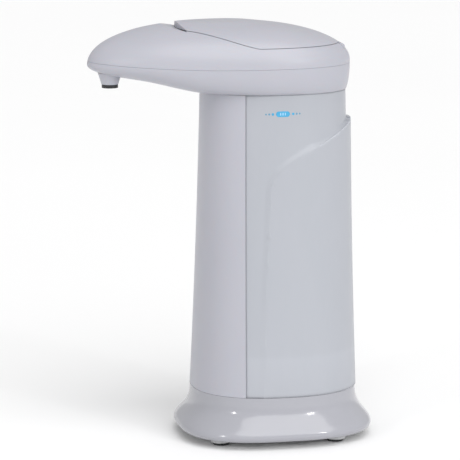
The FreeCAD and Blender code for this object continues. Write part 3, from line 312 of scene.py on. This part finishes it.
class DISPENSER_OT_tank_skin(bpy.types.Operator):
    """Lays the frosted skin on the tank's outside, with a round shoulder along the raised panel's step"""

    bl_idname = "dispenser.tank_skin"
    bl_label = "Tank skin"

    # side outline of the raised panel, from the axis and the counter, in millimetres
    FRONT = ((-15.5, 20.0), (-13.0, 95.0), (-9.0, 163.0))
    BEND = ((-9.0, 163.0), (-7.6, 172.0), (-1.0, 177.0), (10.4, 182.8))
    TOP = ((10.4, 182.8), (50.0, 202.5), (60.0, 202.5))
    BEND_POINTS = 24
    SPACING = 0.5                   # between points along the outline, in millimetres

    SKIN_EDGE = 0.1 * MM            # skin's ends, inside the front cover's ends
    SOLID_SHARE = 0.7               # how much of the film is solid
    OUTSIDE = 0.08                  # from the axis, clear of the tank
    STEP_PROBE = 0.4 * MM           # to each side of the outline
    PANEL_FOOT = 0.0335             # lowest height at which the panel's step is measured
    CORNER_NEAR, CORNER_FAR = 0.3, 0.9   # angles in front of the side, either side of the front corner
    CORNER_HALVINGS = 18
    CORNER_INSET = 0.003
    FACES_FRONT = -0.93             # a normal's Y beyond which the wall is the tank's front face

    def execute(self, context):
        s = context.scene.dispenser_tank
        wall = bmesh.new()
        wall.from_mesh(NODES["soap_tank"].data)
        self.wall = BVHTree.FromBMesh(wall)
        wall.free()
        self.axis_y = s.axis_y
        outline = self.outline()
        nearest = KDTree(len(outline))
        for index, (y, z, _, _) in enumerate(outline):
            nearest.insert((y, z, 0.0), index)
        nearest.balance()
        low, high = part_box("front_cover")
        low_z, high_z = low.z + self.SKIN_EDGE, high.z - self.SKIN_EDGE
        skin = bmesh.new()
        bmesh.ops.create_grid(skin, x_segments=s.columns, y_segments=s.rows, size=1.0)
        reach = {}
        for vert in skin.verts:
            u, v = vert.co.x, vert.co.y
            z = low_z + (high_z - low_z) * (v + 1) / 2
            key = round(v, 5)
            if key not in reach:
                reach[key] = self.front_corner(z)
            angle = math.pi / 2 - u * (math.pi / 2 + reach[key])
            radius = self.cast(angle, z)[0]
            y = radius * math.sin(angle)
            spot, index, away = nearest.find((y, z, 0.0))
            _, _, out_y, out_z = outline[index]
            if away < s.shoulder and (y - spot[0]) * out_y + (z - spot[1]) * out_z > 0:
                near = 1 - away / s.shoulder
                blend = near * near * (3 - 2 * near)
                radius += blend * self.step(spot[0], spot[1], out_y, out_z, radius, 1 if u >= 0 else -1)
            radius += s.film
            vert.co = Vector((radius * math.cos(angle), radius * math.sin(angle) + s.axis_y, z))
        bmesh.ops.recalc_face_normals(skin, faces=skin.faces)
        probe = max(skin.faces, key=lambda face: face.calc_center_median().x)
        if probe.normal.x < 0:
            bmesh.ops.reverse_faces(skin, faces=skin.faces)
        bmesh.ops.solidify(skin, geom=skin.faces[:], thickness=s.film * self.SOLID_SHARE)
        for face in skin.faces:
            face.smooth = True
        mesh = bpy.data.meshes.new("tank_skin")
        skin.to_mesh(mesh)
        skin.free()
        mesh.materials.append(bpy.data.materials["frosted_tank"])
        piece = bpy.data.objects.new("tank_skin", mesh)
        context.scene.collection.objects.link(piece)
        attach(piece, "housing")
        return {"FINISHED"}

    def outline(self):
        """Evenly spaced points along the panel's outline, each with its outward direction."""
        bend = interpolate_bezier(*(Vector((*point, 0.0)) for point in self.BEND), self.BEND_POINTS)
        corners = list(self.FRONT) + [(point.x, point.y) for point in bend[1:]] + list(self.TOP[1:])
        points = []
        for (y0, z0), (y1, z1) in zip(corners, corners[1:]):
            run = math.hypot(y1 - y0, z1 - z0)
            out_y, out_z = -(z1 - z0) / run, (y1 - y0) / run
            count = max(1, round(run / self.SPACING))
            for i in range(count):
                t = i / count
                points.append(((y0 + (y1 - y0) * t) * MM, (z0 + (z1 - z0) * t) * MM, out_y, out_z))
        return points

    def cast(self, angle, z):
        """Radius and normal of the tank's wall, seen from outside along a ray to the axis."""
        out = Vector((math.cos(angle), math.sin(angle), 0.0))
        start = Vector((out.x * self.OUTSIDE, out.y * self.OUTSIDE + self.axis_y, z))
        hit, normal, _, _ = self.wall.ray_cast(start, -out)
        if hit is None:
            raise RuntimeError("the tank's wall is missing at height %.4f" % z)
        return math.hypot(hit.x, hit.y - self.axis_y), normal

    def front_corner(self, z):
        """How far in front of the side the tank reaches at this height, as an angle."""
        near, far = self.CORNER_NEAR, self.CORNER_FAR
        for _ in range(self.CORNER_HALVINGS):
            middle = (near + far) / 2
            if self.cast(-middle, z)[1].y < self.FACES_FRONT:
                far = middle
            else:
                near = middle
        return near - self.CORNER_INSET

    def step(self, y, z, out_y, out_z, radius, side):
        """Height of the panel's step beside the outline point y, z."""
        heights = []
        for shift in (-self.STEP_PROBE, self.STEP_PROBE):
            spot_y, spot_z = y + out_y * shift, max(z + out_z * shift, self.PANEL_FOOT)
            across = math.sqrt(max(radius * radius - spot_y * spot_y, 1e-10)) * side
            heights.append(self.cast(math.atan2(spot_y, across), spot_z)[0])
        return max(0.0, heights[0] - heights[1])


class DISPENSER_OT_fill_mark(bpy.types.Operator):
    """Prints the filled-to mark on the tank: a capsule with three bars between two rows of dots"""

    bl_idname = "dispenser.fill_mark"
    bl_label = "Filled-to mark"

    # all in millimetres, from the middle of the mark
    BAR_PLACES = (-1.45, 0.0, 1.45)
    BAR_RADIUS, BAR_HALF = 0.34, 0.52
    DOT_RADII = (0.80, 0.66, 0.55)
    DOT_PLACES = (("front", -1, (6.35, 8.6, 10.6)), ("rear", 1, (6.5, 8.75, 10.65)))
    CUT_SPACING = 0.6

    def execute(self, context):
        s = context.scene.dispenser_mark
        ink = Finish("mark_ink", s.ink, 0.32, IOR=1.5)
        ink.paint(ink.tones(ink.noise(0.0009, 2.0), "Fac", 0.08))
        ink.bump(ink.noise(0.0003, 2.0), "Fac", 0.000004, 0.4)
        faint = Finish("mark_ink_faint", s.ink_faint, 0.34, IOR=1.5)
        faint.paint(faint.tones(faint.noise(0.0007, 2.0), "Fac", 0.10))
        bars = Finish("mark_bars", s.bars, 0.32, IOR=1.5)
        bars.paint(bars.tones(bars.noise(0.0006, 2.0), "Fac", 0.05))

        half = s.width / 2 - s.height / 2
        capsule = self.rounded(s.height / 2, half)
        self.print_shape("fill_mark_capsule", capsule, s.centre_y, s.centre_z, s.film, ink)
        rows = bmesh.new()
        for place in self.BAR_PLACES:
            bar = self.rounded(self.BAR_RADIUS * MM, self.BAR_HALF * MM, upright=True)
            bmesh.ops.translate(bar, verts=bar.verts, vec=(0.0, place * MM, 0.0))
            self.take(rows, bar)
        self.print_shape("fill_mark_bars", rows, s.centre_y, s.centre_z, s.film * 2, bars)
        for side, sign, places in self.DOT_PLACES:
            for step, (place, radius) in enumerate(zip(places, self.DOT_RADII)):
                dot = self.rounded(radius * MM, 0.0)
                self.print_shape("fill_mark_dot_%s_%d" % (side, step + 1), dot,
                                 s.centre_y + sign * place * MM, s.centre_z, s.film,
                                 faint if step else ink)
        return {"FINISHED"}

    @classmethod
    def rounded(cls, radius, half, upright=False):
        """A flat disc in the YZ plane, pulled out into a capsule by half on each side."""
        shape = bmesh.new()
        bmesh.ops.create_circle(shape, cap_ends=True, segments=32, radius=radius)
        bmesh.ops.rotate(shape, verts=shape.verts, cent=(0, 0, 0),
                         matrix=Matrix.Rotation(math.pi / 2, 3, "Y"))
        axis = 2 if upright else 1
        for vert in shape.verts:
            vert.co[axis] += math.copysign(half, vert.co[axis]) if abs(vert.co[axis]) > 1e-9 else 0.0
        reach = half + radius
        count = max(2, int(reach / (cls.CUT_SPACING * MM)))
        for cut in range(-count, count + 1):
            where = Vector((0, 0, 0))
            where[axis] = reach * cut / (count + 1)
            across = Vector((0, 0, 0))
            across[axis] = 1.0
            bmesh.ops.bisect_plane(shape, geom=shape.verts[:] + shape.edges[:] + shape.faces[:], dist=1e-7,
                                   plane_co=where, plane_no=across)
        return shape

    @staticmethod
    def take(whole, part):
        """Adds one bmesh to another and frees it."""
        mesh = bpy.data.meshes.new("part")
        part.to_mesh(mesh)
        part.free()
        whole.from_mesh(mesh)
        bpy.data.meshes.remove(mesh)

    @staticmethod
    def print_shape(name, shape, y, z, film, finish):
        """Lays a flat shape just off the tank's near side and closes it to a thin film."""
        wall = bmesh.new()
        wall.from_mesh(NODES["soap_tank"].data)
        tree = BVHTree.FromBMesh(wall)
        wall.free()
        bmesh.ops.translate(shape, verts=shape.verts, vec=(0.0, y, z))
        for vert in shape.verts:
            hit, normal, _, _ = tree.ray_cast(Vector((0.2, vert.co.y, vert.co.z)), Vector((-1, 0, 0)))
            if hit is None:
                raise RuntimeError(name + " misses the tank")
            vert.co = hit + normal * (film + bpy.context.scene.dispenser_tank.film)
        bmesh.ops.recalc_face_normals(shape, faces=shape.faces)
        if sum(face.normal.x for face in shape.faces) < 0:
            bmesh.ops.reverse_faces(shape, faces=shape.faces)
        bmesh.ops.solidify(shape, geom=shape.faces[:], thickness=film * 0.8)
        mesh = bpy.data.meshes.new(name)
        shape.to_mesh(mesh)
        shape.free()
        mesh.materials.append(finish.material)
        piece = bpy.data.objects.new(name, mesh)
        bpy.context.scene.collection.objects.link(piece)
        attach(piece, "housing")


class DISPENSER_OT_rubber(bpy.types.Operator):
    """Finishes the feet, the nozzle ring and the silicone seals"""

    bl_idname = "dispenser.rubber"
    bl_label = "Rubber parts"

    def execute(self, context):
        s = finish_settings()
        black = Finish("black_rubber", s.rubber, 0.62, IOR=1.5, Sheen_Weight=0.15, Sheen_Roughness=0.5)
        black.paint(black.tones(black.noise(0.002, 3.0), "Fac", 0.25))
        black.gloss_changes(black.noise(0.0015, 3.0), "Fac", 0.52, 0.74)
        black.bump(black.noise(0.0004, 3.0), "Fac", 0.00003, 0.7)
        dress(black, "foot_pad_1", "foot_pad_2", "foot_pad_3", "foot_pad_4", "nozzle_tip")
        grey = Finish("silicone_seal", s.seal, 0.48, IOR=1.45, Subsurface_Weight=0.1, Subsurface_Scale=0.002)
        grey.paint(grey.tones(grey.noise(0.003, 3.0), "Fac", 0.06))
        grey.bump(grey.noise(0.0005, 2.0), "Fac", 0.00001, 0.5)
        dress(grey, "inlet_seal", "lid_gasket", "outlet_valve", "shaft_seal")
        return {"FINISHED"}


class DISPENSER_OT_sensor(bpy.types.Operator):
    """Finishes the sensor window, the lamps behind it, the indicator and the circuit boards"""

    bl_idname = "dispenser.sensor"
    bl_label = "Sensor and boards"

    def execute(self, context):
        s = finish_settings()
        window = Finish("infrared_window", (0.018, 0.004, 0.007), 0.08, IOR=1.49, Coat_Weight=0.3,
                        Coat_Roughness=0.03)
        window.paint(window.tones(window.noise(0.004, 2.0), "Fac", 0.15))
        window.bump(window.noise(0.003, 1.0), "Fac", 0.000004, 0.3)
        dress(window, "sensor_window")
        lens = Finish("tinted_lens", (0.035, 0.010, 0.016), 0.14, IOR=1.55)
        lens.paint(lens.tones(lens.noise(0.001, 2.0), "Fac", 0.2))
        dress(lens, "indicator_lens", "ir_receiver")
        clear = Finish("clear_lamp", (0.55, 0.60, 0.68), 0.10, IOR=1.55, Transmission_Weight=0.6)
        clear.paint(clear.tones(clear.noise(0.001, 2.0), "Fac", 0.05))
        dress(clear, "ir_emitter")
        board = Finish("solder_mask", s.board, 0.34, IOR=1.55)
        lands = board.add("ShaderNodeTexBrick", offset=0.5, squash=0.6)
        lands.inputs["Scale"].default_value = 420.0
        lands.inputs["Mortar Size"].default_value = 0.035
        lands.inputs["Color1"].default_value = (*s.board, 1.0)
        lands.inputs["Color2"].default_value = (s.board[0] * 0.7, s.board[1] * 0.75, s.board[2] * 0.7, 1.0)
        lands.inputs["Mortar"].default_value = (s.board[0] * 2.6, s.board[1] * 1.9, s.board[2] * 2.4, 1.0)
        board.join(board.place, "Object", lands, "Vector")
        board.paint(lands)
        board.bump(lands, "Fac", 0.00003, 0.4)
        dress(board, "control_board", "sensor_board")
        return {"FINISHED"}


class DISPENSER_OT_pump(bpy.types.Operator):
    """Finishes the pump, its gears, the tube and the wiring inside the column"""

    bl_idname = "dispenser.pump"
    bl_label = "Pump and leads"

    def execute(self, context):
        s = finish_settings()
        white = moulded("pump_moulding", s.inner, 0.42, s.grain, 0.00002, 0.02)
        dress(white, "tank_strainer", "pump_housing", "pump_cover", "motor_saddle", "nozzle_elbow")
        gears = moulded("acetal_gear", s.acetal, 0.36, 0.0004, 0.00001, 0.03, Subsurface_Weight=0.1,
                        Subsurface_Scale=0.003)
        dress(gears, "drive_gear", "idler_gear")
        tube = Finish("clear_tube", (0.66, 0.70, 0.73), 0.24, IOR=1.43, Transmission_Weight=0.45,
                      Subsurface_Weight=0.2, Subsurface_Scale=0.003)
        tube.paint(tube.tones(tube.noise(0.006, 2.0), "Fac", 0.04))
        tube.bump(tube.noise(0.002, 2.0, (1.0, 1.0, 0.2)), "Fac", 0.00001, 0.5)
        dress(tube, "riser_tube")
        sleeve = Finish("cable_sleeve", (0.018, 0.018, 0.020), 0.45, IOR=1.5)
        weave = sleeve.add("ShaderNodeTexWave", wave_type="BANDS", bands_direction="DIAGONAL")
        weave.inputs["Scale"].default_value = 900.0
        weave.inputs["Distortion"].default_value = 1.5
        sleeve.join(sleeve.place, "Object", weave, "Vector")
        sleeve.paint(sleeve.tones(weave, "Fac", 0.35))
        sleeve.bump(weave, "Fac", 0.00008, 0.6)
        dress(sleeve, "wire_harness")
        switch = moulded("switch_nylon", (0.022, 0.022, 0.025), 0.40, 0.0004, 0.00002, 0.15)
        dress(switch, "power_switch_body", "power_switch_knob")
        return {"FINISHED"}


class DISPENSER_OT_metal(bpy.types.Operator):
    """Finishes screws, pins, contacts and the motor can in steel"""

    bl_idname = "dispenser.metal"
    bl_label = "Metal parts"

    def execute(self, context):
        s = finish_settings()
        for name, drawn, rough, nodes in (
            ("zinc_screw", (1.0, 1.0, 1.0), 0.34, ("base_screws", "pump_screws", "head_screws")),
            ("ground_pin", (0.08, 1.0, 1.0), 0.22, ("idler_pin", "lid_hinge_pin")),
            ("ground_shaft", (1.0, 0.08, 1.0), 0.22, ("motor_shaft",)),
            ("drawn_can", (1.0, 0.05, 1.0), 0.32, ("motor_can",)),
            ("nickel_contact", (1.0, 1.0, 0.1), 0.26, ("contact_plates", "contact_springs")),
        ):
            metal = Finish(name, s.steel, rough, Metallic=1.0, Anisotropic=0.3)
            brushed = metal.noise(0.0006, 4.0, drawn)
            metal.paint(metal.tones(brushed, "Fac", 0.10, (0.98, 0.99, 1.0)))
            metal.gloss_changes(metal.noise(0.002, 3.0), "Fac", rough * 0.8, rough * 1.3)
            metal.bump(brushed, "Fac", 0.000008, 0.4)
            dress(metal, *nodes)
        return {"FINISHED"}


class DISPENSER_OT_cells(bpy.types.Operator):
    """Finishes the four batteries: a dark jacket with a warm band at the plus end and bare metal caps"""

    bl_idname = "dispenser.cells"
    bl_label = "Batteries"

    def execute(self, context):
        s = finish_settings()
        metal_tone = tuple(s.steel)
        for cell in range(1, 5):
            plus = 1.0 if cell % 2 else -1.0
            finish = Finish("cell_jacket_%d" % cell, s.jacket, 0.24, IOR=1.5, Coat_Weight=0.4,
                            Coat_Roughness=0.1)
            low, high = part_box("battery_%d" % cell)
            stops = [(-1.0, metal_tone), (-0.97, tuple(s.jacket)), (0.52, tuple(s.jacket)),
                     (0.55, tuple(s.jacket_end)), (0.91, tuple(s.jacket_end)), (0.93, metal_tone)]
            if plus < 0:
                stops = [(-place, tone) for place, tone in reversed(stops)]
            middle, half = (low.x + high.x) / 2, (high.x - low.x) / 2
            bands = finish.along("X", [(middle + half * place, tone) for place, tone in stops])
            bands.color_ramp.interpolation = "CONSTANT" if plus > 0 else "LINEAR"
            finish.paint(bands)
            finish.gloss_changes(finish.noise(0.004, 3.0), "Fac", 0.18, 0.32)
            finish.bump(finish.noise(0.006, 2.0), "Fac", 0.00001, 0.4)
            dress(finish, "battery_%d" % cell)
        return {"FINISHED"}


class DISPENSER_OT_stage(bpy.types.Operator):
    """Sets the pale floor, the soft studio light and the camera"""

    bl_idname = "dispenser.stage"
    bl_label = "Stage"

    FLOOR_RADIUS = 14.0
    KEY = ("key_light", 103.0, 48.0)          # name, azimuth and elevation in degrees
    KEY_SPREAD = 60.0                         # width of the key light, in degrees
    KEY_DISTANCE, LAMP_DISTANCE = 3.0, 1.6
    LAMPS = (("lamp_right", 122.0, 16.0, 0.18, 2.8),   # name, azimuth, elevation, size, watts
             ("lamp_left", 42.0, 18.0, 0.10, 2.2))

    def execute(self, context):
        s = context.scene.dispenser_stage
        scene = context.scene
        shape = bmesh.new()
        bmesh.ops.create_circle(shape, cap_ends=True, segments=s.segments,
                                radius=self.FLOOR_RADIUS)
        mesh = bpy.data.meshes.new("floor")
        shape.to_mesh(mesh)
        shape.free()
        floor = bpy.data.objects.new("floor", mesh)
        scene.collection.objects.link(floor)
        pale = Finish("pale_floor", (s.floor, s.floor, s.floor), 0.7)
        pale.paint(pale.tones(pale.noise(0.4, 2.0), "Fac", 0.004))
        mesh.materials.append(pale.material)

        world = bpy.data.worlds.new("studio")
        world.use_nodes = True
        background = world.node_tree.nodes["Background"]
        background.inputs["Color"].default_value = (*EVEN, 1.0)
        background.inputs["Strength"].default_value = s.sky
        scene.world = world
        aim = Vector((0.0, s.aim_y, s.aim_z))
        key = self.lamp(scene, aim, *self.KEY, "SUN", s.key, self.KEY_DISTANCE)
        key.angle = math.radians(self.KEY_SPREAD)
        for name, azimuth, elevation, size, watts in self.LAMPS:
            softbox = self.lamp(scene, aim, name, azimuth, elevation, "AREA", watts, self.LAMP_DISTANCE)
            softbox.shape = "DISK"
            softbox.size = size
        camera = bpy.data.objects.new("camera", bpy.data.cameras.new("camera"))
        camera.data.lens = s.lens
        camera.data.sensor_width = 36.0
        camera.data.clip_end = 60.0
        back = self.direction(s.azimuth, s.elevation)
        camera.location = aim + back * s.distance
        camera.rotation_euler = back.to_track_quat("Z", "Y").to_euler()
        scene.collection.objects.link(camera)
        scene.camera = camera
        scene.view_settings.view_transform = "Standard"
        return {"FINISHED"}

    @staticmethod
    def direction(azimuth, elevation):
        flat = math.cos(elevation)
        return Vector((math.sin(azimuth) * flat, -math.cos(azimuth) * flat, math.sin(elevation)))

    def lamp(self, scene, aim, name, azimuth, elevation, kind, strength, distance):
        """A light that looks at aim; returns its data, for what its kind needs besides."""
        light = bpy.data.lights.new(name, kind)
        light.energy = strength
        lamp = bpy.data.objects.new(name, light)
        back = self.direction(math.radians(azimuth), math.radians(elevation))
        lamp.location = aim + back * distance
        lamp.rotation_euler = back.to_track_quat("Z", "Y").to_euler()
        scene.collection.objects.link(lamp)
        return light


STEPS = (DISPENSER_OT_satin_covers, DISPENSER_OT_base, DISPENSER_OT_tank, DISPENSER_OT_tank_skin,
         DISPENSER_OT_fill_mark, DISPENSER_OT_rubber, DISPENSER_OT_sensor, DISPENSER_OT_pump,
         DISPENSER_OT_metal, DISPENSER_OT_cells, DISPENSER_OT_stage)


class DISPENSER_PT_panel(bpy.types.Panel):
    """Lists the dispenser's finishes and its stage"""

    bl_idname = "DISPENSER_PT_panel"
    bl_label = "Soap dispenser"
    bl_space_type = "VIEW_3D"
    bl_region_type = "UI"
    bl_category = "Dispenser"

    def draw(self, context):
        for step in STEPS:
            self.layout.operator(step.bl_idname)
        for group in (getattr(context.scene, name) for name, _ in GROUPS):
            box = self.layout.box()
            for name in group.bl_rna.properties.keys():
                if name not in ("rna_type", "name"):
                    box.prop(group, name)


GROUPS = (("dispenser_finish", DispenserFinish), ("dispenser_tank", DispenserTank),
          ("dispenser_mark", DispenserMark), ("dispenser_stage", DispenserStage))


def register():
    for name, group in GROUPS:
        bpy.utils.register_class(group)
        setattr(bpy.types.Scene, name, PointerProperty(type=group))
    for step in STEPS:
        bpy.utils.register_class(step)
    bpy.utils.register_class(DISPENSER_PT_panel)


def unregister():
    bpy.utils.unregister_class(DISPENSER_PT_panel)
    for step in reversed(STEPS):
        bpy.utils.unregister_class(step)
    for name, group in reversed(GROUPS):
        delattr(bpy.types.Scene, name)
        bpy.utils.unregister_class(group)


def main():
    register()
    bpy.ops.dispenser.satin_covers()
    bpy.ops.dispenser.base()
    bpy.ops.dispenser.tank()
    bpy.ops.dispenser.tank_skin()
    bpy.ops.dispenser.fill_mark()
    bpy.ops.dispenser.rubber()
    bpy.ops.dispenser.sensor()
    bpy.ops.dispenser.pump()
    bpy.ops.dispenser.metal()
    bpy.ops.dispenser.cells()
    bpy.ops.dispenser.stage()


if __name__ == "__main__":
    main()
